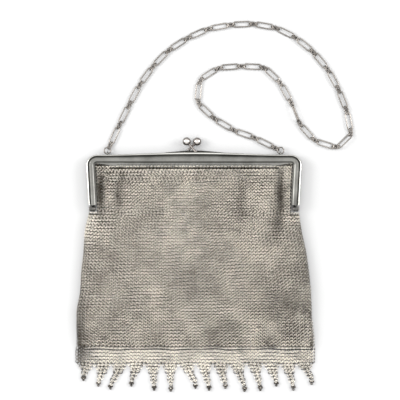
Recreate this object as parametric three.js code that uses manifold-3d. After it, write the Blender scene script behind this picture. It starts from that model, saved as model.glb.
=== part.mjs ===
import * as THREE from 'three';
import { mergeVertices } from 'three/addons/utils/BufferGeometryUtils.js';
import Module from 'manifold-3d';

const wasm = await Module();
wasm.setup();

// An antique evening purse of metal ring mesh, lying closed on its back on z = 0. +Y runs from the fringe
// to the clasp and +Z out of the front. The origin is on the back half's crest, in the middle of the bar.

// Sizes in millimetres
const CLEARANCE = 0.3;            // between pieces that touch, and between the two closed halves

// The two half frames
const FRAME_WIDTH = 139.6;        // outside, just below the top corners
const ARM_SPREAD = 2.8;           // how much wider the frame is there than at the hinge pins
const HINGE_DROP = 32.2;          // from the top bar's crest line to the pins
const CORNER_RADIUS = 7;
const HALF_DEPTH = 4.2;           // from the meeting face to the crest
const BAR_RISE = 4.3;             // crest line to the top edge, in the middle
const BAR_END_RISE = 2.6;         // the same at the corners
const BAR_FALL = 2.4;             // crest line to the moulding's inner edge
const BACK_RISE = 1.2;            // how far the back half shows above the front one, in the middle
const BACK_RISE_SPAN = 54;        // along the bar
const ARM_RISE = 3.4;
const ARM_FALL = 1.9;
const FLANGE_WIDTH = 2.6;         // along the bar
const ARM_FLANGE_WIDTH = 0.4;
const FLANGE_TAPER = 12;          // length over which the bar's flange narrows to the arm's
const EYELET_SIZE = 0.95;         // holes along the flange that carry the mesh, corner to corner
const EYELET_PITCH = 2.45;

// Hinges
const LUG_RADIUS = 2;
const LUG_THICKNESS = 1.35;
const TONGUE_REACH = 1.5;         // how far a lug's tongue runs into its arm
const TONGUE_LOW = 0.5;           // the tongue's underside and top, from the parting plane
const TONGUE_HIGH = 3.15;
const PIN_RADIUS = 0.6;
const RIVET_HEAD_RADIUS = 1.3;
const RIVET_HEAD = 0.5;

// Kiss-lock knobs
const KNOB_RADIUS = 2.7;
const KNOB_LEVEL = 11.4;          // from the crest line to the middles of both balls
const KNOB_LEAN = 5.7;            // sideways, from the foot to the middle of the ball
const KNOB_FOOT_SPREAD = 4.6;     // between the two feet
const KNOB_OFFSET = -1.35;        // where the two stems cross, from the middle of the bar
const KNOB_FOOT_RADIUS = 1.2;
const KNOB_FOOT = 0.7;
const STEM_RADIUS = 0.75;
const KNOB_SET_IN = 0.4;          // how much nearer the parting plane a ball is than its foot

// Chain eyes and jump rings
const EYE_INSET = 13.4;           // from the frame's outside to each eye
const EYE_RADIUS = 1.3;
const EYE_WIRE = 0.8;
const RING_RADIUS = 2.1;
const RING_WIRE = 0.8;

// Mesh bag
const WALL = 1.3;
const BAG_DROP = 88.4;            // from the hinge ends to the bottom fold
const BAG_WIDTH = 155;            // at the bottom
const BAG_DEPTH = 9.8;            // front to back where it is fullest
const FOLD_DEPTH = 2.6;
const MOUTH_CORNER = 2.2;         // how far the mesh is cut back in the frame's corners

// Exponents of the curve across the bag: the larger, the squarer its side edges
const GUSSET_SQUARENESS = 40;
const HINGE_SQUARENESS = 16;
const BODY_SQUARENESS = 7;
const SQUARENESS_END = 0.3;       // share of BAG_DROP where the last one is reached
const SPREAD_POWER = 16;          // the larger, the fewer columns spread out below the hinges
const EDGE_HEIGHT = 0.45;         // height of the side edge where the bag is thin, as a share of the front's

// Fringe
const FRINGE_BAND = 10.8;         // the plain band that the points hang from
const FRINGE_POINT = 16.5;        // longest point below the band
const FRINGE_THICKNESS = 1.6;
const FRINGE_ROOT = 0.3;          // how far the points run into the band, and the drops into each other
const FRINGE_DROP_RADIUS = 1.15;  // the ring of drops at the end of each point
const FRINGE_TIP_RADIUS = 0.75;   // the last drop, below it
const FRINGE_DROP_THICKNESS = 1.54;

// Chain
const CHAIN_WIDTH = 3.8;
const CHAIN_DEPTH = 2.9;
const CHAIN_STEPS = 72;

// Facets round the curved pieces
const LUG_SIDES = 14;
const HOLE_SIDES = 10;
const EYELET_SIDES = 4;
const ROUND_SIDES = 12;
const FOOT_SIDES = 10;
const BALL_STEPS = 8;
const WIRE_SIDES = 6;
const EYE_SIDES = 10;
const RING_SIDES = 14;
const DROP_SIDES = 6;
const CHAIN_SIDES = 8;

// Columns across the bag, as shares of its half width
const FRONT_COLUMNS = 15;
const FRONT_COLUMNS_END = 0.98;
const BACK_COLUMNS = 9;
const BACK_COLUMNS_END = 0.92;
const EDGE_COLUMN = 0.992;
const COLUMN_GAP = 0.012;         // columns closer than this are one

const MERGE_WITHIN = 1e-4;

// One side of the moulding, from the outer edge inwards. The first three columns add up to the distance
// from the outer edge, as shares of the rise, the fall and the flange there. out is a share of HALF_DEPTH.
const MOULDING = [
  { rise: 0, fall: 0, flange: 0, out: 0 },
  { rise: 0, fall: 0, flange: 0, out: 0.58 },
  { rise: 0.06, fall: 0, flange: 0, out: 0.71 },
  { rise: 0.17, fall: 0, flange: 0, out: 0.77 },
  { rise: 0.3, fall: 0, flange: 0, out: 0.71 },
  { rise: 0.38, fall: 0, flange: 0, out: 0.61 },
  { rise: 0.5, fall: 0, flange: 0, out: 0.82 },
  { rise: 0.68, fall: 0, flange: 0, out: 0.95 },
  { rise: 0.87, fall: 0, flange: 0, out: 1 },
  { rise: 1, fall: 0.25, flange: 0, out: 1 },
  { rise: 1, fall: 0.6, flange: 0, out: 0.95 },
  { rise: 1, fall: 0.88, flange: 0, out: 0.83 },
  { rise: 1, fall: 1, flange: 0, out: 0.74 },
  { rise: 1, fall: 1, flange: 1, out: 0.74 },
  { rise: 1, fall: 1, flange: 1, out: 0.56 },
  { rise: 0.6, fall: 0, flange: 0, out: 0.56 },
  { rise: 0.6, fall: 0, flange: 0, out: 0 },
];
const FLANGE_MIDDLE = 0.65;       // height of the middle of the flange, as a share of HALF_DEPTH

// The bag between the arms. drop runs from the mouth to the hinge ends; front is how far the front has
// swollen from the flange's height to its height at the hinges; back how far the back has come down to z = 0.
const GUSSET_ROWS = [
  { drop: 0, front: 0, back: 0 },
  { drop: 0.1, front: 0.08, back: 0.3 },
  { drop: 0.26, front: 0.4, back: 0.85 },
  { drop: 0.5, front: 0.75, back: 1 },
  { drop: 0.76, front: 0.93, back: 1 },
  { drop: 1, front: 1, back: 1 },
];

// The bag below the hinges. drop is a share of BAG_DROP; left and right are shares of the way from
// the hinges' width to BAG_WIDTH; front is a share of BAG_DEPTH.
const BODY_ROWS = [
  { drop: 0.01, left: 0.03, right: 0, front: 0.93 },
  { drop: 0.13, left: 0.27, right: 0.2, front: 0.98 },
  { drop: 0.28, left: 0.41, right: 0.48, front: 1 },
  { drop: 0.43, left: 0.55, right: 0.7, front: 1 },
  { drop: 0.57, left: 0.63, right: 0.84, front: 0.97 },
  { drop: 0.72, left: 0.86, right: 0.91, front: 0.9 },
  { drop: 0.85, left: 0.91, right: 0.98, front: 0.76 },
  { drop: 0.94, left: 0.9, right: 1.04, front: 0.58 },
  { drop: 1, left: 0.87, right: 1.09, front: 0.36 },
];

// Folds that hang from the frame in the front sheet. across and width are shares of the half width,
// depth of FOLD_DEPTH and reach of the whole bag.
const FOLDS = [
  { across: -0.92, width: 0.075, depth: 1, reach: 0.38 },
  { across: -0.73, width: 0.055, depth: 0.62, reach: 0.46 },
  { across: -0.3, width: 0.06, depth: 0.22, reach: 0.34 },
  { across: -0.07, width: 0.06, depth: 0.22, reach: 0.36 },
  { across: 0.47, width: 0.06, depth: 0.3, reach: 0.52 },
  { across: 0.86, width: 0.065, depth: 0.95, reach: 0.54 },
];
const FOLD_START = 0.06;          // share of the bag's length over which a fold opens below the flange
const FOLD_FADE = 0.45;           // share of a fold's reach where it begins to fade

// The fringe's points. lean is a share of the pitch and length a share of FRINGE_POINT.
const FRINGE_POINTS = [
  { lean: -0.15, length: 0.58 },
  { lean: -0.27, length: 0.8 },
  { lean: -0.55, length: 0.92 },
  { lean: -0.31, length: 0.8 },
  { lean: 0.04, length: 0.96 },
  { lean: 0.03, length: 1 },
  { lean: 0.5, length: 0.89 },
  { lean: 0.31, length: 0.96 },
  { lean: 0.28, length: 0.89 },
  { lean: 0.42, length: 1 },
  { lean: 0.35, length: 0.97 },
  { lean: 0.3, length: 0.8 },
  { lean: 0.31, length: 0.96 },
  { lean: 0.4, length: 0.73 },
];

// One point's outline. down is a share of the point's length, half of the pitch, and lean of its own lean.
const POINT_OUTLINE = [
  { down: 0, half: 0.46, lean: 0 },
  { down: 0.45, half: 0.27, lean: 0.35 },
  { down: 1, half: 0.09, lean: 1 },
];

// The chain's route over the surface, from the left ring to the right one
const CHAIN_ROUTE = [
  [-49, 21.8], [-42.9, 34.3], [-35.9, 47.7], [-27.2, 59.9], [-16.9, 70.6], [-4, 79], [9.6, 85],
  [24.7, 87.7], [40.1, 88.1], [54.9, 85], [68.8, 77.5], [79.6, 67.9], [89.1, 55.6], [95.6, 42.3],
  [100.4, 28.5], [101.7, 14.4], [93.4, 8.1], [79.8, 11.8], [69.4, 22.7], [63.7, 36.1], [56.6, 49.1],
  [46.3, 59.3], [31.1, 60.6], [16.3, 59.3], [4.4, 51.6], [2.6, 37.8], [11.9, 27.6], [25.2, 19.3],
  [38.9, 14.1],
];

const SILVER = { color: 0x9a978d, roughness: 0.34, metalness: 1 };
const BRIGHT_SILVER = { color: 0xb9b7b0, roughness: 0.24, metalness: 1 };
const MESH_SILVER = { color: 0xa79f92, roughness: 0.5, metalness: 0.9 };

const HINGE_WIDTH = FRAME_WIDTH - ARM_SPREAD;             // outside, at the hinge pins
const PARTING = HALF_DEPTH + CLEARANCE / 2;               // height of the plane where the halves meet
const CORNER_X = FRAME_WIDTH / 2 - CORNER_RADIUS;
const CORNER_Y = BAR_END_RISE - CORNER_RADIUS;
const ARM_END = -HINGE_DROP + LUG_RADIUS + CLEARANCE;
const HINGE_END = -HINGE_DROP - LUG_RADIUS - CLEARANCE;
const BAG_BOTTOM = HINGE_END - BAG_DROP;

const { lerp, clamp, smoothstep } = THREE.MathUtils;

function bell(v) {
  return (1 + Math.cos(Math.PI * clamp(v, -1, 1))) / 2;
}

// Swaps the triangles of a closed geometry whose faces point inwards.
function facingOut(geometry) {
  const position = geometry.getAttribute('position');
  const index = geometry.index.array;
  const corners = [new THREE.Vector3(), new THREE.Vector3(), new THREE.Vector3()];
  let volume = 0;
  for (let i = 0; i < index.length; i += 3) {
    corners.forEach((corner, k) => corner.fromBufferAttribute(position, index[i + k]));
    volume += corners[0].dot(corners[1].clone().cross(corners[2]));
  }
  if (volume < 0) {
    for (let i = 0; i < index.length; i += 3) {
      [index[i], index[i + 1]] = [index[i + 1], index[i]];
    }
  }
  return geometry;
}

function indexed(points, faces) {
  const geometry = new THREE.BufferGeometry();
  const places = points.flatMap((point) => point.toArray());
  geometry.setAttribute('position', new THREE.Float32BufferAttribute(places, 3));
  geometry.setIndex(faces.flat());
  return geometry;
}

// Quads between loops of equally many points, each loop joined to the next one.
function skin(loops, count, closed = false) {
  const faces = [];
  const last = closed ? loops : loops - 1;
  for (let i = 0; i < last; i += 1) {
    const row = i * count;
    const next = ((i + 1) % loops) * count;
    for (let j = 0; j < count; j += 1) {
      const k = (j + 1) % count;
      faces.push([row + j, next + j, next + k], [row + j, next + k, row + k]);
    }
  }
  return faces;
}

function asSolid(geometry) {
  const bare = geometry.clone();
  bare.deleteAttribute('normal');
  bare.deleteAttribute('uv');
  const merged = mergeVertices(bare, MERGE_WITHIN);
  return new wasm.Manifold(new wasm.Mesh({
    numProp: 3,
    vertProperties: new Float32Array(merged.getAttribute('position').array),
    triVerts: new Uint32Array(merged.index.array),
  }));
}

function asGeometry(solid) {
  const mesh = solid.getMesh();
  const geometry = new THREE.BufferGeometry();
  geometry.setAttribute('position', new THREE.Float32BufferAttribute(mesh.vertProperties, 3));
  geometry.setIndex(Array.from(mesh.triVerts));
  return geometry;
}

function joined(solids) {
  return solids.reduce((whole, solid) => whole.add(solid));
}

function named(name, geometry, finish) {
  const mesh = new THREE.Mesh(geometry, new THREE.MeshStandardMaterial(finish));
  mesh.name = name;
  return mesh;
}

// Turns a shape drawn in Y and Z, extruded towards +Z, so that the extrusion runs towards +X.
const ALONG_X = new THREE.Matrix4().makeBasis(
  new THREE.Vector3(0, 1, 0),
  new THREE.Vector3(0, 0, 1),
  new THREE.Vector3(1, 0, 0),
);

function topEdge(x, extra) {
  const arch = (BAR_RISE - BAR_END_RISE) * bell(x / CORNER_X);
  return BAR_END_RISE + arch + extra * bell(x / (BACK_RISE_SPAN / 2));
}

function flangeWidth(x) {
  const taper = clamp((Math.abs(x) - CORNER_X + FLANGE_TAPER) / FLANGE_TAPER, 0, 1);
  return lerp(FLANGE_WIDTH, ARM_FLANGE_WIDTH, taper);
}

// Stations along the outer edge from the right arm's end to the left one's.
function frameStations(extra) {
  const armSteps = 1;
  const cornerSteps = 5;
  const taperSteps = 2;
  const barSteps = 7;
  const right = [];
  for (let i = 0; i <= armSteps; i += 1) {
    const share = i / armSteps;
    right.push({
      x: lerp(HINGE_WIDTH / 2, FRAME_WIDTH / 2, share),
      y: lerp(ARM_END, CORNER_Y, share),
      inward: [-1, 0],
      rise: ARM_RISE,
      fall: ARM_FALL,
      flange: ARM_FLANGE_WIDTH,
    });
  }
  for (let i = 1; i <= cornerSteps; i += 1) {
    const share = i / cornerSteps;
    const angle = share * Math.PI / 2;
    right.push({
      x: CORNER_X + CORNER_RADIUS * Math.cos(angle),
      y: CORNER_Y + CORNER_RADIUS * Math.sin(angle),
      inward: [-Math.cos(angle), -Math.sin(angle)],
      rise: lerp(ARM_RISE, BAR_END_RISE, share),
      fall: lerp(ARM_FALL, BAR_FALL, share),
      flange: ARM_FLANGE_WIDTH,
    });
  }
  for (let i = 1; i <= taperSteps + barSteps; i += 1) {
    const taperEnd = CORNER_X - FLANGE_TAPER;
    const x = i < taperSteps
      ? lerp(CORNER_X, taperEnd, i / taperSteps)
      : taperEnd * (1 - (i - taperSteps) / barSteps);
    const rise = topEdge(x, extra);
    right.push({ x, y: rise, inward: [0, -1], rise, fall: BAR_FALL, flange: flangeWidth(x) });
  }
  const left = right.slice(0, -1).reverse().map((station) => ({
    ...station,
    x: -station.x,
    inward: [-station.inward[0], station.inward[1]],
  }));
  return [...right, ...left];
}

// The moulded U of one half. side is +1 for the front and -1 for the back; z = 0 is the parting plane.
function mouldedBar(side, extra) {
  const stations = frameStations(extra);
  const points = [];
  for (const station of stations) {
    for (const row of MOULDING) {
      const across = row.rise * station.rise + row.fall * station.fall + row.flange * station.flange;
      points.push(new THREE.Vector3(
        station.x + station.inward[0] * across,
        station.y + station.inward[1] * across,
        side * (CLEARANCE / 2 + row.out * HALF_DEPTH),
      ));
    }
  }
  const section = MOULDING.map((row) => new THREE.Vector2(
    row.rise * ARM_RISE + row.fall * ARM_FALL + row.flange * ARM_FLANGE_WIDTH,
    row.out * HALF_DEPTH,
  ));
  const cap = THREE.ShapeUtils.triangulateShape(section, []);
  const lastLoop = (stations.length - 1) * MOULDING.length;
  const faces = skin(stations.length, MOULDING.length);
  const clockwise = THREE.ShapeUtils.isClockWise(section);
  for (const [a, b, c] of cap) {
    const [first, second] = clockwise ? [b, a] : [a, b];
    faces.push([first, second, c], [lastLoop + second, lastLoop + first, lastLoop + c]);
  }
  return asSolid(facingOut(indexed(points, faces)));
}

// A hinge lug: a disc round the pin with a tongue that runs up into its own half's arm.
function hingeLug(side, outerFace) {
  const tongueEnd = ARM_END + TONGUE_REACH;
  const shape = new THREE.Shape();
  shape.moveTo(-HINGE_DROP, LUG_RADIUS);
  shape.lineTo(ARM_END, TONGUE_HIGH);
  shape.lineTo(tongueEnd, TONGUE_HIGH);
  shape.lineTo(tongueEnd, TONGUE_LOW);
  const underside = Math.asin(TONGUE_LOW / LUG_RADIUS);
  shape.absarc(-HINGE_DROP, 0, LUG_RADIUS, underside, Math.PI / 2 - 2 * Math.PI, true);
  const geometry = new THREE.ExtrudeGeometry(shape, {
    depth: LUG_THICKNESS,
    bevelEnabled: false,
    curveSegments: LUG_SIDES,
  });
  geometry.applyMatrix4(ALONG_X);
  geometry.translate(outerFace - LUG_THICKNESS, 0, 0);
  if (side < 0) {
    geometry.applyMatrix4(new THREE.Matrix4().makeRotationX(Math.PI));
    geometry.scale(1, -1, 1);
  }
  return asSolid(facingOut(mergeVertices(stripped(geometry), MERGE_WITHIN)));
}

function stripped(geometry) {
  geometry.deleteAttribute('normal');
  geometry.deleteAttribute('uv');
  return geometry;
}

function mirroredInX(geometry) {
  const copy = geometry.clone();
  copy.scale(-1, 1, 1);
  return facingOut(copy);
}

// A cylinder along X, used for the pins' holes.
function rodAlongX(radius, from, to, y) {
  const rod = new THREE.CylinderGeometry(radius, radius, to - from, HOLE_SIDES);
  rod.rotateZ(Math.PI / 2);
  rod.translate((from + to) / 2, y, 0);
  return asSolid(rod);
}

// Where the pieces of a hinge lie, from the frame's outer side inwards.
function hingeLayout() {
  const frontLug = HINGE_WIDTH / 2 - RIVET_HEAD - CLEARANCE;
  const backLug = frontLug - LUG_THICKNESS - CLEARANCE;
  const innerHead = backLug - LUG_THICKNESS - CLEARANCE;
  return { frontLug, backLug, innerEnd: innerHead - RIVET_HEAD };
}

function eyelets(side) {
  const reach = CORNER_X - FLANGE_TAPER;
  const count = Math.floor(reach / EYELET_PITCH);
  const cutters = [];
  for (let i = -count; i <= count; i += 1) {
    const cutter = new THREE.CylinderGeometry(EYELET_SIZE / 2, EYELET_SIZE / 2, HALF_DEPTH, EYELET_SIDES);
    cutter.rotateX(Math.PI / 2);
    cutter.translate(
      i * EYELET_PITCH,
      -BAR_FALL - FLANGE_WIDTH / 2,
      side * FLANGE_MIDDLE * HALF_DEPTH,
    );
    cutters.push(asSolid(cutter));
  }
  return joined(cutters);
}

function chainEye(x, side) {
  const eye = new THREE.TorusGeometry(EYE_RADIUS, EYE_WIRE / 2, WIRE_SIDES, EYE_SIDES);
  eye.rotateY(Math.PI / 2);
  eye.translate(x, eyeMiddle(x), side * eyeHeight());
  return asSolid(eye);
}

function eyeAt(end) {
  return end * (FRAME_WIDTH / 2 - EYE_INSET);
}

function eyeMiddle(x) {
  return topEdge(x, 0) + EYE_RADIUS / 2;
}

function eyeHeight() {
  return CLEARANCE / 2 + EYE_RADIUS + EYE_WIRE / 2;
}

function halfFrame(side) {
  const extra = side < 0 ? BACK_RISE : 0;
  const layout = hingeLayout();
  const lugFace = side > 0 ? layout.frontLug : layout.backLug;
  let half = mouldedBar(side, extra);
  const lug = hingeLug(side, lugFace);
  const otherLug = asSolid(mirroredInX(asGeometry(lug)));
  half = joined([half, lug, otherLug]);
  for (const end of [-1, 1]) {
    const from = Math.min(end * layout.innerEnd, end * HINGE_WIDTH / 2);
    const to = Math.max(end * layout.innerEnd, end * HINGE_WIDTH / 2);
    half = half.subtract(rodAlongX(PIN_RADIUS + CLEARANCE, from, to, -HINGE_DROP));
    if (side < 0) {
      half = half.add(chainEye(eyeAt(end), side));
    }
  }
  return asGeometry(half.subtract(eyelets(side)));
}

function rivetGeometry() {
  const length = HINGE_WIDTH / 2 - hingeLayout().innerEnd;
  const profile = [
    [0, 0], [RIVET_HEAD_RADIUS, 0], [RIVET_HEAD_RADIUS, RIVET_HEAD], [PIN_RADIUS, RIVET_HEAD],
    [PIN_RADIUS, length - RIVET_HEAD], [RIVET_HEAD_RADIUS, length - RIVET_HEAD],
    [RIVET_HEAD_RADIUS, length], [0, length],
  ];
  return latheFrom(profile, ROUND_SIDES);
}

function latheFrom(profile, sides) {
  const points = profile.map(([radius, height]) => new THREE.Vector2(radius, height));
  return facingOut(mergeVertices(stripped(new THREE.LatheGeometry(points, sides)), MERGE_WITHIN));
}

// A knob with its foot at the origin and its ball leaning towards +X, that much above the foot.
function knobGeometry(rise) {
  const footProfile = [[0, 0], [KNOB_FOOT_RADIUS, 0], [KNOB_FOOT_RADIUS, KNOB_FOOT], [0, KNOB_FOOT]];
  const foot = latheFrom(footProfile, FOOT_SIDES);
  const tip = new THREE.Vector3(KNOB_LEAN, rise, KNOB_SET_IN);
  const reach = tip.length();
  const waist = Math.asin(STEM_RADIUS / KNOB_RADIUS);
  const profile = [[0, KNOB_FOOT / 2], [STEM_RADIUS, KNOB_FOOT / 2]];
  for (let i = 0; i <= BALL_STEPS; i += 1) {
    const angle = lerp(waist, Math.PI, i / BALL_STEPS);
    const radius = i === BALL_STEPS ? 0 : KNOB_RADIUS * Math.sin(angle);
    profile.push([radius, reach - KNOB_RADIUS * Math.cos(angle)]);
  }
  const stem = latheFrom(profile, ROUND_SIDES);
  const up = new THREE.Vector3(0, 1, 0);
  stem.applyQuaternion(new THREE.Quaternion().setFromUnitVectors(up, tip.clone().normalize()));
  return asGeometry(asSolid(foot).add(asSolid(stem)));
}

// Height of the sheets' middle at the flange, above and below the parting plane.
function sheetOffset() {
  return CLEARANCE / 2 + FLANGE_MIDDLE * HALF_DEPTH;
}

function armInside(y) {
  const outer = lerp(HINGE_WIDTH / 2, FRAME_WIDTH / 2, clamp((y - ARM_END) / (CORNER_Y - ARM_END), 0, 1));
  return outer - ARM_RISE - ARM_FALL - ARM_FLANGE_WIDTH - CLEARANCE;
}

// The mouth follows the flange's edge and is cut back in the frame's corners.
function mouthLine(x) {
  const inCorner = smoothstep(Math.abs(x), CORNER_X - MOUTH_CORNER, CORNER_X + MOUTH_CORNER / 2);
  return -BAR_FALL - flangeWidth(x) - CLEARANCE - MOUTH_CORNER * inCorner;
}

function bagRows() {
  const hingeFront = BODY_ROWS[0].front * BAG_DEPTH;
  const gusset = GUSSET_ROWS.map((row) => {
    const side = armInside(lerp(mouthLine(0), HINGE_END, row.drop));
    return {
      y: (x) => lerp(mouthLine(x), HINGE_END, row.drop),
      left: side,
      right: side,
      front: lerp(PARTING + sheetOffset() + WALL / 2, hingeFront, row.front),
      back: lerp(PARTING - sheetOffset() - WALL / 2, 0, row.back),
      middle: PARTING,
      core: 1,
      squareness: GUSSET_SQUARENESS,
    };
  });
  const body = BODY_ROWS.map((row) => ({
    y: () => lerp(HINGE_END, BAG_BOTTOM, row.drop),
    left: lerp(HINGE_WIDTH / 2, BAG_WIDTH / 2, row.left),
    right: lerp(HINGE_WIDTH / 2, BAG_WIDTH / 2, row.right),
    front: row.front * BAG_DEPTH,
    back: 0,
    middle: Math.min(PARTING, row.front * BAG_DEPTH * EDGE_HEIGHT),
    core: armInside(HINGE_END) / (HINGE_WIDTH / 2),
    squareness: lerp(HINGE_SQUARENESS, BODY_SQUARENESS, smoothstep(row.drop, 0, SQUARENESS_END)),
  }));
  return [...gusset, ...body];
}

// How far a fold lowers the front at a share of the width and a share of the bag's whole length.
function foldAt(across, down) {
  const open = smoothstep(down, 0, FOLD_START);
  return FOLDS.reduce((sum, fold) => {
    const fade = 1 - smoothstep(down, fold.reach * FOLD_FADE, fold.reach);
    return sum + fold.depth * bell((across - fold.across) / fold.width) * open * fade;
  }, 0) * FOLD_DEPTH;
}

// Columns across the front, as shares of the half width, closer together at the folds and edges.
function frontColumns() {
  const even = evenColumns(FRONT_COLUMNS, FRONT_COLUMNS_END);
  const atFolds = FOLDS.flatMap(({ across, width }) => [-1, -0.5, 0, 0.5, 1].map((k) => across + k * width));
  const all = [...even, ...atFolds, -taperShare(), taperShare()]
    .filter((share) => Math.abs(share) <= FRONT_COLUMNS_END)
    .sort((a, b) => a - b);
  const spaced = all.filter((share, i) => i === 0 || share - all[i - 1] > COLUMN_GAP);
  return [-1, -EDGE_COLUMN, ...spaced, EDGE_COLUMN, 1];
}

function backColumns() {
  const even = evenColumns(BACK_COLUMNS, BACK_COLUMNS_END);
  const inner = [...even, -taperShare(), taperShare()].sort((a, b) => b - a);
  return [EDGE_COLUMN, ...inner, -EDGE_COLUMN];
}

function evenColumns(count, end) {
  return Array.from({ length: count }, (_, i) => lerp(-end, end, i / (count - 1)));
}

// Where the flange begins to narrow, as a share of the bag's half width.
function taperShare() {
  return (CORNER_X - FLANGE_TAPER) / armInside(mouthLine(0));
}

// One loop of the bag round the given row, inset from its outside. Below the hinges the columns keep the
// places that they have between the arms, and those near the edge spread out to the full width.
function bagLoop(row, inset, lift) {
  const place = (share, height) => {
    const side = (share < 0 ? row.left : row.right) - inset;
    const spread = (1 - row.core) * Math.abs(share) ** SPREAD_POWER;
    const across = share * row.core + Math.sign(share) * spread;
    const x = side * across;
    const bulge = Math.sqrt(Math.max(0, 1 - Math.abs(across) ** row.squareness));
    const y = row.y(x) + lift;
    return new THREE.Vector3(x, y, lerp(row.middle, height(share, y), bulge));
  };
  const length = mouthLine(0) - BAG_BOTTOM;
  const front = (share, y) => row.front - inset - foldAt(share, clamp((mouthLine(0) - y) / length, 0, 1));
  const back = () => row.back + inset;
  return [
    ...frontColumns().map((share) => place(share, front)),
    ...backColumns().map((share) => place(share, back)),
  ];
}

// The slit between the two sheets beside an arm, down to the hinge.
function sideSlit(end) {
  const sheet = sheetOffset() - WALL / 2;
  const inside = armInside(HINGE_END) - WALL * 2;
  const outside = FRAME_WIDTH / 2;
  const slit = new THREE.BoxGeometry(outside - inside, -HINGE_END, 2 * sheet);
  slit.translate(end * (inside + outside) / 2, HINGE_END / 2, PARTING);
  return asSolid(slit);
}

// Triangles across the end of the bag, between the front and the back of one loop, facing +Y.
function floorOf(loop, first) {
  const width = frontColumns().length;
  const front = loop.slice(0, width).map((_, i) => i);
  const back = [0, ...loop.slice(width).map((_, i) => loop.length - 1 - i), width - 1];
  const faces = [];
  let i = 0;
  let j = 0;
  while (i < front.length - 1 || j < back.length - 1) {
    const frontFirst = j === back.length - 1
      || (i < front.length - 1 && loop[front[i + 1]].x <= loop[back[j + 1]].x);
    const face = frontFirst ? [front[i], front[i + 1], back[j]] : [back[j + 1], back[j], front[i]];
    if (new Set(face).size === 3) {
      faces.push(face.map((v) => v + first));
    }
    i += frontFirst ? 1 : 0;
    j += frontFirst ? 0 : 1;
  }
  return faces;
}

function bagGeometry() {
  const rows = bagRows();
  const outer = rows.map((row) => bagLoop(row, 0, 0));
  const inner = rows.map((row, i) => bagLoop(row, WALL, i === rows.length - 1 ? WALL : 0)).reverse();
  const count = outer[0].length;
  const loops = [...outer, ...inner];
  const faces = skin(loops.length, count, true);
  const bottom = rows.length - 1;
  const between = faces.filter((face) => !face.every((v) => v >= bottom * count && v < (bottom + 2) * count));
  const outside = floorOf(loops[bottom], bottom * count).map(([a, b, c]) => [b, a, c]);
  const inside = floorOf(loops[bottom + 1], (bottom + 1) * count);
  let bag = asSolid(facingOut(indexed(loops.flat(), [...between, ...outside, ...inside])));
  for (const end of [-1, 1]) {
    bag = bag.subtract(sideSlit(end));
  }
  return asGeometry(bag);
}

function plate(corners, thickness) {
  const shape = new THREE.Shape(corners.map(([x, y]) => new THREE.Vector2(x, y)));
  return asSolid(new THREE.ExtrudeGeometry(shape, { depth: thickness, bevelEnabled: false }));
}

// The band under the bottom fold and its tapering points, fused into one sheet.
function fringeGeometry() {
  const last = BODY_ROWS[BODY_ROWS.length - 1];
  const left = -lerp(HINGE_WIDTH / 2, BAG_WIDTH / 2, last.left);
  const right = lerp(HINGE_WIDTH / 2, BAG_WIDTH / 2, last.right);
  const top = BAG_BOTTOM - CLEARANCE;
  const foot = top - FRINGE_BAND;
  const pieces = [plate([[left, foot], [right, foot], [right, top], [left, top]], FRINGE_THICKNESS)];
  const pitch = (right - left) / FRINGE_POINTS.length;
  FRINGE_POINTS.forEach((point, i) => {
    const middle = left + (i + 0.5) * pitch;
    const drop = point.length * FRINGE_POINT - FRINGE_DROP_RADIUS - 2 * FRINGE_TIP_RADIUS + FRINGE_ROOT;
    const edge = (hand) => POINT_OUTLINE.map((row) => [
      middle + (point.lean * row.lean + hand * row.half) * pitch,
      foot - row.down * drop,
    ]);
    const root = (hand) => [edge(hand)[0][0], foot + FRINGE_ROOT];
    pieces.push(plate([root(-1), ...edge(-1), ...edge(1).reverse(), root(1)], FRINGE_THICKNESS));
    const tip = middle + point.lean * pitch;
    const lowest = foot - drop - FRINGE_DROP_RADIUS - FRINGE_TIP_RADIUS + FRINGE_ROOT;
    pieces.push(fringeDrop(tip, foot - drop, FRINGE_DROP_RADIUS));
    pieces.push(fringeDrop(tip, lowest, FRINGE_TIP_RADIUS));
  });
  return asGeometry(joined(pieces));
}

function fringeDrop(x, y, radius) {
  const drop = new THREE.CylinderGeometry(radius, radius, FRINGE_DROP_THICKNESS, DROP_SIDES);
  drop.rotateX(Math.PI / 2);
  drop.translate(x, y, FRINGE_THICKNESS / 2);
  return asSolid(drop);
}

// The middle of a jump ring: its wire passes through the middle of the eye's opening.
function ringCentre(end) {
  const x = eyeAt(end);
  const eyeTop = eyeMiddle(x) + EYE_RADIUS - EYE_WIRE / 2;
  return new THREE.Vector3(x, (topEdge(x, 0) + eyeTop) / 2 + RING_RADIUS, PARTING - eyeHeight());
}

function chainGeometry() {
  const height = CHAIN_DEPTH / 2;
  const route = CHAIN_ROUTE.map(([x, y]) => new THREE.Vector3(x, y, height));
  const towards = (centre, next) => {
    const flat = centre.clone().setZ(height);
    return flat.add(next.clone().sub(flat).setLength(RING_RADIUS + RING_WIRE / 2 + CLEARANCE));
  };
  route.unshift(towards(ringCentre(-1), route[0]));
  route.push(towards(ringCentre(1), route[route.length - 1]));
  const path = new THREE.CatmullRomCurve3(route, false, 'centripetal');
  const stretch = 1 / Math.cos(Math.PI / CHAIN_SIDES);
  const section = new THREE.Shape(Array.from({ length: CHAIN_SIDES }, (_, i) => {
    const angle = (i + 0.5) * 2 * Math.PI / CHAIN_SIDES;
    return new THREE.Vector2(
      Math.cos(angle) * stretch * CHAIN_DEPTH / 2,
      Math.sin(angle) * stretch * CHAIN_WIDTH / 2,
    );
  }));
  const tube = new THREE.ExtrudeGeometry(section, {
    steps: CHAIN_STEPS,
    extrudePath: path,
    bevelEnabled: false,
  });
  return facingOut(mergeVertices(stripped(tube), MERGE_WITHIN));
}

const purse = new THREE.Group();

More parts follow.
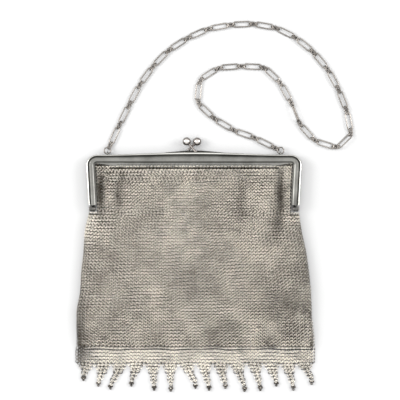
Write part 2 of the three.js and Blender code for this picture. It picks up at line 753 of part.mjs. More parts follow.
const frame = new THREE.Group();
frame.position.z = PARTING;
purse.add(frame);
frame.add(named('frame_front', halfFrame(1), SILVER));
frame.add(named('frame_back', halfFrame(-1), SILVER));

const rivet = rivetGeometry();
for (const [name, end] of [['left', -1], ['right', 1]]) {
  const hinge = named(`hinge_rivet_${name}`, rivet.clone(), BRIGHT_SILVER);
  hinge.position.set(end * HINGE_WIDTH / 2, -HINGE_DROP, 0);
  hinge.rotation.z = end * Math.PI / 2;
  frame.add(hinge);
}

for (const [name, side] of [['front', 1], ['back', -1]]) {
  const x = KNOB_OFFSET + side * KNOB_FOOT_SPREAD / 2;
  const foot = topEdge(x, side < 0 ? BACK_RISE : 0) + CLEARANCE;
  const knob = named(`clasp_knob_${name}`, knobGeometry(KNOB_LEVEL - foot), BRIGHT_SILVER);
  knob.position.set(x, foot, side * (CLEARANCE / 2 + KNOB_FOOT_RADIUS));
  knob.rotation.y = side > 0 ? Math.PI : 0;
  frame.add(knob);
}

const jumpRing = new THREE.TorusGeometry(RING_RADIUS, RING_WIRE / 2, WIRE_SIDES, RING_SIDES);
for (const [name, end] of [['left', -1], ['right', 1]]) {
  const ring = named(`chain_ring_${name}`, jumpRing.clone(), BRIGHT_SILVER);
  ring.position.copy(ringCentre(end));
  purse.add(ring);
}

purse.add(named('chain', chainGeometry(), BRIGHT_SILVER));
purse.add(named('mesh_bag', bagGeometry(), MESH_SILVER));
purse.add(named('fringe', fringeGeometry(), MESH_SILVER));

export default purse;
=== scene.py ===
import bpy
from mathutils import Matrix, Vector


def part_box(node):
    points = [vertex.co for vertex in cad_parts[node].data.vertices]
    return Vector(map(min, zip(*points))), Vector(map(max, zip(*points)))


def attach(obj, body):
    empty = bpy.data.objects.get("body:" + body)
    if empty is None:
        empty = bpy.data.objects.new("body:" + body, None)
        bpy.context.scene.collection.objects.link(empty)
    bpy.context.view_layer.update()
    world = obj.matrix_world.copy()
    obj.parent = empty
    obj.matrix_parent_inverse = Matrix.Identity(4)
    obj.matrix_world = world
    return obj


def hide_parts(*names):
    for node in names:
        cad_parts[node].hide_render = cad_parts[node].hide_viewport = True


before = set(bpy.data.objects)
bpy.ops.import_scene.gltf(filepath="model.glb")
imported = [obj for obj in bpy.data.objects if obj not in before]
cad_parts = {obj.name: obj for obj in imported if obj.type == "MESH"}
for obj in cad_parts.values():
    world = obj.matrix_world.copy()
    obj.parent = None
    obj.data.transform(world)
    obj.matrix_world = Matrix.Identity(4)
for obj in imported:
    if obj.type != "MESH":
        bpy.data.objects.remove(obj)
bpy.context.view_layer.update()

import math
from collections import namedtuple

import bmesh
import bpy
import numpy as np
from mathutils import Vector
from mathutils.bvhtree import BVHTree
from mathutils.kdtree import KDTree

# An antique evening purse of silver ring mesh, lying on its back. Lengths are in metres, in the frame of
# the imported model: +Y from the fringe to the clasp, +Z out of the front.
MM = 0.001
CLEARANCE = 0.3 * MM
RANDOM = np.random.default_rng(7)

# The two half frames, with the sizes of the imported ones
FRAME_WIDTH = 139.6 * MM
HINGE_WIDTH = FRAME_WIDTH - 2.8 * MM
HINGE_DROP = 32.2 * MM
CORNER_RADIUS = 7 * MM
HALF_DEPTH = 4.2 * MM
BAR_RISE = 4.3 * MM
BAR_END_RISE = 2.6 * MM
BAR_FALL = 2.4 * MM
BACK_RISE = 1.2 * MM
BACK_RISE_SPAN = 54 * MM
ARM_RISE = 3.4 * MM
ARM_FALL = 1.9 * MM
FLANGE_WIDTH = 2.6 * MM
ARM_FLANGE_WIDTH = 0.4 * MM
FLANGE_TAPER = 12 * MM
FLANGE_MIDDLE = 0.65
EYELET_SIZE = 0.95 * MM
EYELET_PITCH = 2.45 * MM
LUG_RADIUS = 2 * MM
LUG_THICKNESS = 1.35 * MM
TONGUE_REACH = 1.5 * MM
TONGUE_LOW = 0.5 * MM
TONGUE_HIGH = 3.15 * MM
PIN_RADIUS = 0.6 * MM
RIVET_HEAD_RADIUS = 1.3 * MM
RIVET_HEAD = 0.5 * MM
EDGE_ROUNDING = 0.14 * MM

KNOB_RADIUS = 2.7 * MM
KNOB_LEVEL = 11.4 * MM         # from the crest line to the middles of both balls
KNOB_LEAN = 5.7 * MM
KNOB_FOOT_SPREAD = 4.6 * MM
KNOB_OFFSET = -1.35 * MM
KNOB_FOOT_RADIUS = 1.2 * MM
KNOB_FOOT = 0.7 * MM
STEM_RADIUS = 0.75 * MM
KNOB_SET_IN = 0.4 * MM

EYE_INSET = 13.4 * MM
EYE_RADIUS = 1.3 * MM
EYE_WIRE = 0.8 * MM
RING_RADIUS = 2.1 * MM
RING_WIRE = 0.8 * MM

# Ring mesh
ROW = 1.07 * MM               # between rows
RING_ACROSS = 0.41            # half width of a ring's centre line, as a share of the pitch
RING_DOWN = 1.4 * MM          # half length of a ring's centre line
MAIL_WIRE = 0.46 * MM
LOOP_WIRE = 0.3 * MM
MAIL_TILT = math.radians(28)
MAIL_INSET = 0.88 * MM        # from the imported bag's skin to the rings' middles
SHADE_INSIDE = 0.95            # painted shade on the rings' parts inside the mesh, and on their middles
SHADE_MIDDLE = 0.72
BODY_COLUMNS = 62
OUTER_COLUMNS = 3             # columns on each side that begin below the hinges
JOIN_ROWS = 9                 # rows above the hinges in which the columns find their own spacing
BESIDE_ARM = 0.8 * MM         # from the arms and from the flange to the rings' middles
BESIDE_BAR = 0.35 * MM

# Fringe
FRINGE_BAND = 10.8 * MM
FRINGE_POINT = 16.5 * MM
FRINGE_PITCH = 2.25 * MM      # between neighbouring rings of a point
FRINGE_HEIGHT = 0.9 * MM
DROP_RADIUS = 0.85 * MM

# Chain
LINK_LENGTH = 11.9 * MM
LINK_WIDTH = 4.1 * MM
LINK_WIRE = 0.85 * MM
KNOT_RADIUS = 1.28 * MM
KNOT_WIRE = 0.64 * MM
LINKS = 30
LINK_HEIGHT = 1.1 * MM
CHAIN_HEIGHT = 1.45 * MM

PARTING = HALF_DEPTH + CLEARANCE / 2
CORNER_X = FRAME_WIDTH / 2 - CORNER_RADIUS
CORNER_Y = BAR_END_RISE - CORNER_RADIUS
ARM_END = -HINGE_DROP + LUG_RADIUS + CLEARANCE
HINGE_END = -HINGE_DROP - LUG_RADIUS - CLEARANCE
BAG_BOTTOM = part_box("mesh_bag")[0].y
MOUTH = -BAR_FALL - FLANGE_WIDTH - CLEARANCE

# One side of the moulding from the outer edge inwards: shares of the rise, the fall and the flange, the
# height above the meeting face as a share of HALF_DEPTH, whether the row is a corner, and its darkness:
# tarnish with painted shade near the meeting face, in the groove, at the inner step and underneath, and a
# painted highlight on the clean bead. Runs between two corners are smooth.
Row = namedtuple("Row", "rise fall flange out corner tarnish")
MOULDING = [
    Row(0, 0, 0, 0, True, 0.9),
    Row(0, 0, 0, 0.58, False, 0.55),
    Row(0.06, 0, 0, 0.71, False, 0.1),
    Row(0.17, 0, 0, 0.77, False, 0),
    Row(0.3, 0, 0, 0.71, False, 0.25),
    Row(0.38, 0, 0, 0.61, True, 1),
    Row(0.5, 0, 0, 0.82, False, 0.92),
    Row(0.68, 0, 0, 0.95, False, 0.84),
    Row(0.87, 0, 0, 1, False, 0.8),
    Row(1, 0.25, 0, 1, False, 0.74),
    Row(1, 0.6, 0, 0.95, False, 0.66),
    Row(1, 0.88, 0, 0.83, False, 0.8),
    Row(1, 1, 0, 0.74, True, 1),
    Row(1, 1, 0.14, 0.74, True, 0.78),
    Row(1, 1, 1, 0.74, True, 0.78),
    Row(1, 1, 1, 0.56, True, 0.6),
    Row(0.6, 0, 0, 0.56, True, 1),
    Row(0.6, 0, 0, 0, True, 1),
]

# The chain's route over the surface, from the left ring to the right one, in millimetres
CHAIN_ROUTE = [
    [-49, 21.8], [-42.9, 34.3], [-35.9, 47.7], [-27.2, 59.9], [-16.9, 70.6], [-4, 79], [9.6, 85],
    [24.7, 87.7], [40.1, 88.1], [54.9, 85], [68.8, 77.5], [79.6, 67.9], [89.1, 55.6], [95.6, 42.3],
    [100.4, 28.5], [101.7, 14.4], [93.4, 8.1], [79.8, 11.8], [69.4, 22.7], [63.7, 36.1], [56.6, 49.1],
    [46.3, 59.3], [31.1, 60.6], [16.3, 59.3], [4.4, 51.6], [2.6, 37.8], [11.9, 27.6], [25.2, 19.3],
    [38.9, 14.1],
]

# The fringe's points from left to right: lean as a share of the spacing, length as one of FRINGE_POINT
FringePoint = namedtuple("FringePoint", "lean length")
FRINGE_POINTS = [
    FringePoint(-0.15, 0.58), FringePoint(-0.27, 0.8), FringePoint(-0.55, 0.92), FringePoint(-0.31, 0.8),
    FringePoint(0.04, 0.96), FringePoint(0.03, 1), FringePoint(0.5, 0.89), FringePoint(0.31, 0.96),
    FringePoint(0.28, 0.89), FringePoint(0.42, 1), FringePoint(0.35, 0.97), FringePoint(0.3, 0.8),
    FringePoint(0.31, 0.96), FringePoint(0.4, 0.73),
]
# One point's outline: shares of its length, of the spacing for its half width, and of its lean
POINT_DOWN = [0, 0.3, 0.7, 1]
POINT_HALF = [0.45, 0.3, 0.2, 0.11]
POINT_LEAN = [0, 0.16, 0.66, 1]

# Darker places of the mesh, part stains and part painted shade in the folds' valleys and down the sides, in
# millimetres: where they are, how far they reach and how dark they are
StainAndShade = namedtuple("StainAndShade", "x y across down strength")
STAINS_AND_SHADE = [
    StainAndShade(-60.5, -22, 2.6, 15, 0.9),
    StainAndShade(-54, -36, 5, 8, 0.2),
    StainAndShade(-46.5, -13, 2, 8, 0.3),
    StainAndShade(-49.5, -28, 2.2, 12, 0.3),
    StainAndShade(30.5, -30, 2.4, 20, 0.2),
    StainAndShade(56, -24, 2.6, 16, 0.85),
    StainAndShade(53, -44, 3.5, 9, 0.25),
    StainAndShade(60, -100, 20, 24, 0.2),
    StainAndShade(-2, -84, 16, 9, 0.12),
    StainAndShade(-66, -98, 14, 26, 0.18),
    StainAndShade(74, -62, 5, 36, 0.4),
    StainAndShade(-73, -62, 4, 40, 0.25),
    StainAndShade(-75, -122, 6, 22, 0.65),
    StainAndShade(24, -112, 20, 8, 0.06),
    StainAndShade(4, -129, 75, 5, -0.14),
]


# Meshes from arrays
def mesh_object(name, points, faces, material, tarnish=None, sharp=None):
    """An object from points and faces. tarnish is a value for each point, tarnish together with painted
    shade; sharp an angle in degrees.
    """
    mesh = bpy.data.meshes.new(name)
    if isinstance(faces, np.ndarray):
        mesh.vertices.add(len(points))
        mesh.vertices.foreach_set("co", np.ascontiguousarray(points, np.float32).ravel())
        mesh.loops.add(faces.size)
        mesh.loops.foreach_set("vertex_index", np.ascontiguousarray(faces, np.int32).ravel())
        mesh.polygons.add(len(faces))
        mesh.polygons.foreach_set("loop_start", np.arange(0, faces.size, faces.shape[1], dtype=np.int32))
        mesh.update(calc_edges=True)
    else:
        mesh.from_pydata([tuple(p) for p in points], [], [list(f) for f in faces])
    mesh.polygons.foreach_set("use_smooth", np.ones(len(mesh.polygons), bool))
    if tarnish is not None:
        layer = mesh.attributes.new("tarnish", "FLOAT", "POINT")
        layer.data.foreach_set("value", np.ascontiguousarray(tarnish, np.float32))
    if sharp is not None:
        mesh.set_sharp_from_angle(angle=math.radians(sharp))
    mesh.materials.append(material)
    made = bpy.data.objects.new(name, mesh)
    bpy.context.scene.collection.objects.link(made)
    return made


def wires(lines, normals, radius, sides):
    """Round wires along closed flat loops. lines is loops x steps x 3 and normals loops x 3."""
    tangents = np.roll(lines, -1, 1) - np.roll(lines, 1, 1)
    tangents /= np.linalg.norm(tangents, axis=2, keepdims=True)
    up = np.broadcast_to(normals[:, None, :], tangents.shape)
    out = np.cross(tangents, up)
    angles = 2 * np.pi * np.arange(sides) / sides
    turn = (np.cos(angles)[:, None] * out[:, :, None, :] + np.sin(angles)[:, None] * up[:, :, None, :])
    points = lines[:, :, None, :] + np.reshape(radius, (-1, 1, 1, 1)) * turn
    index = np.arange(lines.shape[0] * lines.shape[1] * sides).reshape(*lines.shape[:2], sides)
    ahead = np.roll(index, -1, 1)
    quads = np.stack([index, ahead, np.roll(ahead, -1, 2), np.roll(index, -1, 2)], -1)
    return points.reshape(-1, 3), quads.reshape(-1, 4)


def unit(vectors):
    return vectors / np.linalg.norm(vectors, axis=-1, keepdims=True)


def ovals(centres, long_way, short_way, half_long, half_short, steps):
    """Closed oval loops round the centres, and their normals."""
    angles = 2 * np.pi * (np.arange(steps) + 0.5) / steps
    long_part = np.cos(angles)[None, :, None] * (long_way * np.reshape(half_long, (-1, 1)))[:, None, :]
    short_part = np.sin(angles)[None, :, None] * (short_way * np.reshape(half_short, (-1, 1)))[:, None, :]
    return centres[:, None, :] + long_part + short_part, unit(np.cross(long_way, short_way))


def revolved(profile, origin, axis, steps):
    """Points and faces of a profile of (radius, height) turned about an axis. Its ends lie on the axis."""
    axis = np.array(axis) / np.linalg.norm(axis)
    side = unit(np.cross(axis, [0.3, 0.2, 0.9]))
    other = np.cross(axis, side)
    angles = 2 * np.pi * np.arange(steps) / steps
    points = [np.array(origin) + axis * profile[0][1]]
    for radius, height in profile[1:-1]:
        for angle in angles:
            turned = side * math.cos(angle) + other * math.sin(angle)
            points.append(np.array(origin) + axis * height + turned * radius)
    points.append(np.array(origin) + axis * profile[-1][1])
    faces = []
    for j in range(steps):
        k = (j + 1) % steps
        faces.append((0, 1 + k, 1 + j))
        for i in range(len(profile) - 3):
            low, high = 1 + i * steps, 1 + (i + 1) * steps
            faces.append((low + j, low + k, high + k, high + j))
        low = 1 + (len(profile) - 3) * steps
        faces.append((low + j, low + k, len(points) - 1))
    return np.array(points), faces


def combine(whole, parts, operation, overlaps=False):
    """Joins closed pieces to an object or cuts them from it. Its points take the nearest old tarnish and
    painted shade.

    overlaps is for an object whose own faces touch or cross.
    """
    known = []
    for piece in (whole, *parts) if operation == "UNION" else (whole,):
        layer = piece.data.attributes["tarnish"]
        known += [(v.co.copy(), layer.data[i].value) for i, v in enumerate(piece.data.vertices)]
    nearest = KDTree(len(known))
    for i, (spot, _) in enumerate(known):
        nearest.insert(spot, i)
    nearest.balance()
    for part in parts:
        modifier = whole.modifiers.new("join", "BOOLEAN")
        modifier.operation = operation
        modifier.solver = "EXACT"
        modifier.use_self = overlaps
        modifier.object = part
    graph = bpy.context.evaluated_depsgraph_get()
    mesh = bpy.data.meshes.new_from_object(whole.evaluated_get(graph))
    whole.modifiers.clear()
    whole.data = mesh
    mesh.attributes.remove(mesh.attributes["tarnish"])
    layer = mesh.attributes.new("tarnish", "FLOAT", "POINT")
    layer.data.foreach_set("value", [known[nearest.find(v.co)[1]][1] for v in mesh.vertices])
    for part in parts:
        bpy.data.objects.remove(part)
    return whole


# Materials
def metal(name, light, dark, rough_light, rough_dark, grain, grain_depth, patina=0.5):
    """Worn silver: clean where the tarnish value, tarnish together with painted shade and highlight, is 0
    and dark where it is 1, broken up by noise.
    """
    made = bpy.data.materials.new(name)
    made.use_nodes = True
    nodes, links = made.node_tree.nodes, made.node_tree.links
    shader = nodes["Principled BSDF"]
    shader.inputs["Metallic"].default_value = 1
    place = nodes.new("ShaderNodeTexCoord")
    layer = nodes.new("ShaderNodeAttribute")
    layer.attribute_name = "tarnish"
    cloud = nodes.new("ShaderNodeTexNoise")
    cloud.inputs["Scale"].default_value = 90
    cloud.inputs["Detail"].default_value = 4
    fine = nodes.new("ShaderNodeTexNoise")
    fine.inputs["Scale"].default_value = 1400
    fine.inputs["Detail"].default_value = 2
    links.new(place.outputs["Object"], cloud.inputs["Vector"])
    links.new(place.outputs["Object"], fine.inputs["Vector"])
    clouds = nodes.new("ShaderNodeMapRange")
    clouds.inputs["From Min"].default_value = 0.35
    clouds.inputs["From Max"].default_value = 0.7
    clouds.inputs["To Min"].default_value = -0.35 * patina
    clouds.inputs["To Max"].default_value = 0.65 * patina
    links.new(cloud.outputs["Fac"], clouds.inputs["Value"])
    specks = nodes.new("ShaderNodeMapRange")
    specks.inputs["From Min"].default_value = 0.3
    specks.inputs["From Max"].default_value = 0.7
    specks.inputs["To Min"].default_value = -0.25 * patina
    specks.inputs["To Max"].default_value = 0.25 * patina
    links.new(fine.outputs["Fac"], specks.inputs["Value"])
    both = nodes.new("ShaderNodeMath")
    both.operation = "ADD"
    links.new(clouds.outputs["Result"], both.inputs[0])
    links.new(specks.outputs["Result"], both.inputs[1])
    total = nodes.new("ShaderNodeMath")
    total.operation = "ADD"
    total.use_clamp = True
    links.new(both.outputs["Value"], total.inputs[0])
    links.new(layer.outputs["Fac"], total.inputs[1])
    colour = nodes.new("ShaderNodeMix")
    colour.data_type = "RGBA"
    colour.inputs["A"].default_value = (*light, 1)
    colour.inputs["B"].default_value = (*dark, 1)
    links.new(total.outputs["Value"], colour.inputs["Factor"])
    links.new(colour.outputs["Result"], shader.inputs["Base Color"])
    rough = nodes.new("ShaderNodeMapRange")
    rough.inputs["To Min"].default_value = rough_light
    rough.inputs["To Max"].default_value = rough_dark
    links.new(total.outputs["Value"], rough.inputs["Value"])
    links.new(rough.outputs["Result"], shader.inputs["Roughness"])
    bump = nodes.new("ShaderNodeBump")
    bump.inputs["Strength"].default_value = grain
    bump.inputs["Distance"].default_value = grain_depth
    links.new(fine.outputs["Fac"], bump.inputs["Height"])
    links.new(bump.outputs["Normal"], shader.inputs["Normal"])
    return made


frame_silver = metal(
    "frame_silver", (0.5, 0.495, 0.465), (0.03, 0.0295, 0.026), 0.2, 0.5, 0.3, 0.06 * MM, 0.12)
bright_silver = metal(
    "bright_silver", (0.6, 0.57, 0.54), (0.14, 0.12, 0.11), 0.14, 0.4, 0.2, 0.05 * MM, 0.3)
chain_silver = metal("chain_silver", (0.35, 0.325, 0.3), (0.07, 0.062, 0.055), 0.2, 0.45, 0.3, 0.05 * MM)
mesh_silver = metal("mesh_silver", (0.98, 0.92, 0.81), (0.07, 0.06, 0.048), 0.42, 0.55, 0.2, 0.03 * MM, 0.3)


# The two half frames
def bell(v):
    return (1 + math.cos(math.pi * min(1, max(-1, v)))) / 2


def lerp(a, b, share):
    return a + (b - a) * share


def top_edge(x, extra):
    arch = (BAR_RISE - BAR_END_RISE) * bell(x / CORNER_X)
    return BAR_END_RISE + arch + extra * bell(x / (BACK_RISE_SPAN / 2))


def flange_width(x):
    taper = min(1, max(0, (abs(x) - CORNER_X + FLANGE_TAPER) / FLANGE_TAPER))
    return lerp(FLANGE_WIDTH, ARM_FLANGE_WIDTH, taper)


Station = namedtuple("Station", "x y inward_x inward_y rise fall flange")
ARM_STEPS = 8
CORNER_STEPS = 14
BAR_STEPS = 60


def stations(extra):
    """Places along the outer edge from the right arm's end to the left one's."""
    right = []
    for i in range(ARM_STEPS):
        share = i / ARM_STEPS
        x = lerp(HINGE_WIDTH, FRAME_WIDTH, share) / 2
        y = lerp(ARM_END, CORNER_Y, share)
        right.append(Station(x, y, -1, 0, ARM_RISE, ARM_FALL, ARM_FLANGE_WIDTH))
    for i in range(CORNER_STEPS):
        share = i / CORNER_STEPS
        c, s = math.cos(share * math.pi / 2), math.sin(share * math.pi / 2)
        right.append(Station(
            CORNER_X + CORNER_RADIUS * c, CORNER_Y + CORNER_RADIUS * s, -c, -s,
            lerp(ARM_RISE, BAR_END_RISE, share), lerp(ARM_FALL, BAR_FALL, share), ARM_FLANGE_WIDTH))
    for i in range(BAR_STEPS + 1):
        x = CORNER_X * (1 - i / BAR_STEPS)
        rise = top_edge(x, extra)
        right.append(Station(x, rise, 0, -1, rise, BAR_FALL, flange_width(x)))
    left = [s._replace(x=-s.x, inward_x=-s.inward_x) for s in reversed(right[:-1])]
    return right + left


def rounded_moulding():
    """Rows of the moulding with its corners rounded a little and its smooth runs filled in."""
    rows = []
    count = len(MOULDING)
    for i, row in enumerate(MOULDING):
        before, after = MOULDING[i - 1], MOULDING[(i + 1) % count]
        if row.corner:
            for other in (before, after):
                size = math.hypot(
                    (other.rise - row.rise) * BAR_RISE + (other.fall - row.fall) * BAR_FALL
                    + (other.flange - row.flange) * FLANGE_WIDTH,
                    (other.out - row.out) * HALF_DEPTH)
                share = min(0.3, EDGE_ROUNDING / size)
                rows.append([lerp(a, b, share) for a, b in zip(row[:4], other[:4])] + [row.tarnish])
        else:
            rows.append([*row[:4], row.tarnish])
        if not (row.corner and after.corner):
            rows += [spline_row(i, share) for share in (0.2, 0.4, 0.6, 0.8)]
    return rows


def spline_row(i, share):
    """A row between the i-th and the next, on a smooth curve that doesn't run over the corners."""
    count = len(MOULDING)
    here, after = MOULDING[i], MOULDING[(i + 1) % count]
    before = here if here.corner else MOULDING[i - 1]
    beyond = after if after.corner else MOULDING[(i + 2) % count]
    values = [[*row[:4], row.tarnish] for row in (before, here, after, beyond)]
    return [catmull(*four, share) for four in zip(*values)]


def catmull(a, b, c, d, t):
    square = (2 * a - 5 * b + 4 * c - d) * t * t
    cube = (3 * b - a - 3 * c + d) * t ** 3
    return 0.5 * (2 * b + (c - a) * t + square + cube)


def moulded_bar(name, side, extra):
    rows = rounded_moulding()
    places = stations(extra)
    points, tarnish = [], []
    for station in places:
        for rise, fall, flange, out, dark in rows:
            across = rise * station.rise + fall * station.fall + flange * station.flange
            points.append((
                station.x + station.inward_x * across,
                station.y + station.inward_y * across,
                PARTING + side * (CLEARANCE / 2 + out * HALF_DEPTH)))
            # The back half is dark all over: painted shade, for it lies under the front half
            tarnish.append(dark if side > 0 else 1)
    count = len(rows)
    faces = []
    for i in range(len(places) - 1):
        for j in range(count):
            k = (j + 1) % count
            quad = (i * count + j, (i + 1) * count + j, (i + 1) * count + k, i * count + k)
            faces.append(quad if side < 0 else quad[::-1])
    ends = [tuple(range(count)), tuple((len(places) - 1) * count + j for j in reversed(range(count)))]
    faces += ends if side < 0 else [face[::-1] for face in ends]
    return mesh_object(name, points, faces, frame_silver, tarnish)


def lug(side, outer_face, end):
    """A hinge lug: a disc round the pin with a tongue that runs up into its own half's arm."""
    underside = math.asin(TONGUE_LOW / LUG_RADIUS)
    tongue = ARM_END + TONGUE_REACH
    outline = [(ARM_END, TONGUE_HIGH), (tongue, TONGUE_HIGH), (tongue, TONGUE_LOW)]
    steps = 32
    for i in range(steps + 1):
        angle = lerp(underside, math.pi / 2 - 2 * math.pi, i / steps)
        outline.append((-HINGE_DROP + LUG_RADIUS * math.cos(angle), LUG_RADIUS * math.sin(angle)))
    xs = (end * outer_face, end * (outer_face - LUG_THICKNESS))
    points = [(x, y, PARTING + side * z) for x in xs for y, z in outline]
    count = len(outline)
    faces = [tuple(range(count)), tuple(reversed(range(count, 2 * count)))]
    faces += [((j + 1) % count, j, count + j, count + (j + 1) % count) for j in range(count)]
    made = mesh_object("lug", points, faces, frame_silver, np.full(len(points), 0.8))
    return outward(made)


def outward(piece):
    """Turns the faces of a closed piece so that they point out."""
    shape = bmesh.new()
    shape.from_mesh(piece.data)
    bmesh.ops.recalc_face_normals(shape, faces=shape.faces)
    shape.to_mesh(piece.data)
    shape.free()
    return piece


def rod(name, start, end, radius, steps):
    start, end = np.array(start), np.array(end)
    length = np.linalg.norm(end - start)
    profile = [(0, 0), (radius, 0), (radius, length), (0, length)]
    return outward(mesh_object(name, *revolved(profile, start, end - start, steps), frame_silver))


def eyelet_places():
    count = int((CORNER_X - FLANGE_TAPER) / EYELET_PITCH)
    return [i * EYELET_PITCH for i in range(-count, count + 1)]


def chain_eye(end):
    x = eye_at(end)
    centre = np.array([[x, eye_middle(x), PARTING - eye_height()]])
    along, out = np.array([[0, 1.0, 0]]), np.array([[0, 0, 1.0]])
    lines, normals = ovals(centre, along, out, EYE_RADIUS, EYE_RADIUS, 28)
    points, quads = wires(lines, normals, EYE_WIRE / 2, 12)
    return outward(mesh_object("eye", points, quads, frame_silver, np.full(len(points), 0.7)))


def eye_at(end):
    return end * (FRAME_WIDTH / 2 - EYE_INSET)


def eye_middle(x):
    return top_edge(x, 0) + EYE_RADIUS / 2


def eye_height():
    return CLEARANCE / 2 + EYE_RADIUS + EYE_WIRE / 2


def hinge_faces():
    """Outer faces of the front lug and the back lug, and the inner end of the pin."""
    front = HINGE_WIDTH / 2 - RIVET_HEAD - CLEARANCE
    back = front - LUG_THICKNESS - CLEARANCE
    return front, back, back - LUG_THICKNESS - CLEARANCE - RIVET_HEAD


def half_frame(name, side):
    extra = BACK_RISE if side < 0 else 0
    front, back, inner = hinge_faces()
    bar = outward(moulded_bar(name, side, extra))
    added = [lug(side, front if side > 0 else back, end) for end in (-1, 1)]
    if side < 0:
        added += [chain_eye(end) for end in (-1, 1)]
    combine(bar, added, "UNION", overlaps=side > 0)
    holes = []
    for end in (-1, 1):
        holes.append(rod(
            "hole", (end * inner, -HINGE_DROP, PARTING), (end * HINGE_WIDTH / 2, -HINGE_DROP, PARTING),
            PIN_RADIUS + CLEARANCE, 24))
    height = PARTING + side * (CLEARANCE / 2 + FLANGE_MIDDLE * HALF_DEPTH)
    middle = -BAR_FALL - FLANGE_WIDTH / 2
    for x in eyelet_places():
        holes.append(rod("eyelet", (x, middle, height - MM), (x, middle, height + MM), EYELET_SIZE / 2, 10))
    for hole in holes[3:]:
        join_into(holes[2], hole)
    combine(bar, holes[:3], "DIFFERENCE")
    bar.data.polygons.foreach_set("use_smooth", np.ones(len(bar.data.polygons), bool))
    bar.data.set_sharp_from_angle(angle=math.radians(38))
    return bar


def join_into(first, other):
    shape = bmesh.new()
    shape.from_mesh(first.data)
    shape.from_mesh(other.data)
    shape.to_mesh(first.data)
    shape.free()
    bpy.data.objects.remove(other)


# Pins, knobs and jump rings
def domed(radius, height, low):
    """Profile rows of a domed head that rises from low, ending on the axis."""
    rows = [(radius, low)]
    for i in range(1, 7):
        angle = i / 6 * math.pi / 2
        rows.append((radius * math.cos(angle), low + height * math.sin(angle)))
    rows[-1] = (0, low + height)
    return rows


def hinge_rivet(name, end):
    inner = hinge_faces()[2]
    length = HINGE_WIDTH / 2 - inner
    flat = RIVET_HEAD * 0.45
    head = domed(RIVET_HEAD_RADIUS, RIVET_HEAD - flat, length - RIVET_HEAD + flat)
    tail = [(radius, length - height) for radius, height in reversed(head)]
    profile = tail + [
        (RIVET_HEAD_RADIUS, RIVET_HEAD), (PIN_RADIUS, RIVET_HEAD), (PIN_RADIUS, length - RIVET_HEAD),
        (RIVET_HEAD_RADIUS, length - RIVET_HEAD)] + head
    points, faces = revolved(profile, (end * inner, -HINGE_DROP, PARTING), (end, 0, 0), 32)
    return outward(mesh_object(name, points, faces, bright_silver, np.full(len(points), 0.6), 40))


def clasp_knob(name, side):
    foot_height = CLEARANCE / 2 + KNOB_FOOT_RADIUS
    x = KNOB_OFFSET + side * KNOB_FOOT_SPREAD / 2
    base = top_edge(x, BACK_RISE if side < 0 else 0) + CLEARANCE
    origin = np.array([x, base, PARTING + side * foot_height])
    tip = np.array([-side * KNOB_LEAN, KNOB_LEVEL - origin[1], -side * KNOB_SET_IN])
    reach = np.linalg.norm(tip)
    waist = math.asin(STEM_RADIUS / KNOB_RADIUS)
    rows = [
        (0, 0.2 * KNOB_FOOT), (STEM_RADIUS * 1.25, 0.2 * KNOB_FOOT), (STEM_RADIUS * 1.1, KNOB_FOOT * 1.6),
        (STEM_RADIUS * 0.9, reach * 0.4)]
    steps = 28
    for i in range(steps + 1):
        angle = lerp(waist, math.pi, i / steps)
        radius = 0 if i == steps else KNOB_RADIUS * math.sin(angle)
        rows.append((radius, reach - KNOB_RADIUS * math.cos(angle)))
    points, faces = revolved(rows, origin, tip, 48)
    height = (points - origin) @ (tip / reach)
    # Painted shade: darker down the stem towards the foot, and on the side of the ball that faces down
    dark = np.interp(height, [0, reach * 0.35, reach * 0.62, reach], [0.8, 0.6, 0.15, 0])
    facing = (points[:, 2] - (origin + tip)[2]) / KNOB_RADIUS
    dark = np.maximum(dark, np.interp(facing, [-1, 0.15, 0.7, 1], [0.95, 0.8, 0.4, 0.25]))
    knob = outward(mesh_object(name, points, faces, bright_silver, dark))
    profile = [(0, 0), (KNOB_FOOT_RADIUS * 0.94, 0), (KNOB_FOOT_RADIUS, 0.15 * KNOB_FOOT),
               (KNOB_FOOT_RADIUS, 0.75 * KNOB_FOOT), (KNOB_FOOT_RADIUS * 0.85, KNOB_FOOT), (0, KNOB_FOOT)]
    points, faces = revolved(profile, origin, (0, 1, 0), 32)
    foot = outward(mesh_object("foot", points, faces, bright_silver, np.full(len(points), 0.7)))
    combine(knob, [foot], "UNION")
    knob.data.polygons.foreach_set("use_smooth", np.ones(len(knob.data.polygons), bool))
    knob.data.set_sharp_from_angle(angle=math.radians(40))
    return knob


def ring_centre(end):
    x = eye_at(end)
    eye_top = eye_middle(x) + EYE_RADIUS - EYE_WIRE / 2
    return np.array([x, (top_edge(x, 0) + eye_top) / 2 + RING_RADIUS, PARTING - eye_height()])


def jump_ring(name, end):
    across, along = np.array([[1.0, 0, 0]]), np.array([[0, 1.0, 0]])
    lines, normals = ovals(ring_centre(end)[None], across, along, RING_RADIUS, RING_RADIUS, 48)
    points, quads = wires(lines, normals, RING_WIRE / 2, 14)
    return mesh_object(name, points, quads, chain_silver, np.full(len(points), 0.6))


# Chain
def smooth_route():
    """Points along the chain's route from one jump ring's middle to the other's, and its length."""
    knots = [ring_centre(-1)[:2]] + [np.array(p) * MM for p in CHAIN_ROUTE] + [ring_centre(1)[:2]]
    knots = [2 * knots[0] - knots[1], *knots, 2 * knots[-1] - knots[-2]]
    dense = [
        catmull(*knots[i:i + 4], share)
        for i in range(len(knots) - 3) for share in np.arange(0, 1, 0.01)]
    dense = np.array(dense + [knots[-2]])
    length = np.concatenate([[0], np.cumsum(np.linalg.norm(np.diff(dense, axis=0), axis=1))])
    even = np.arange(0, length[-1], ROUTE_STEP)
    return np.stack([np.interp(even, length, dense[:, k]) for k in (0, 1)], 1), length[-1]


# Links that lie turned on their long axis, counted from the left ring, in degrees
LINK_ROLLS = {17: 40, 20: 68, 11: 24, 25: -22}
END_GAP = 5.6 * MM            # from a jump ring's middle to the first link's end
ROUTE_STEP = 0.25 * MM
KNOT_RINGS = 3                # small rings between two long links


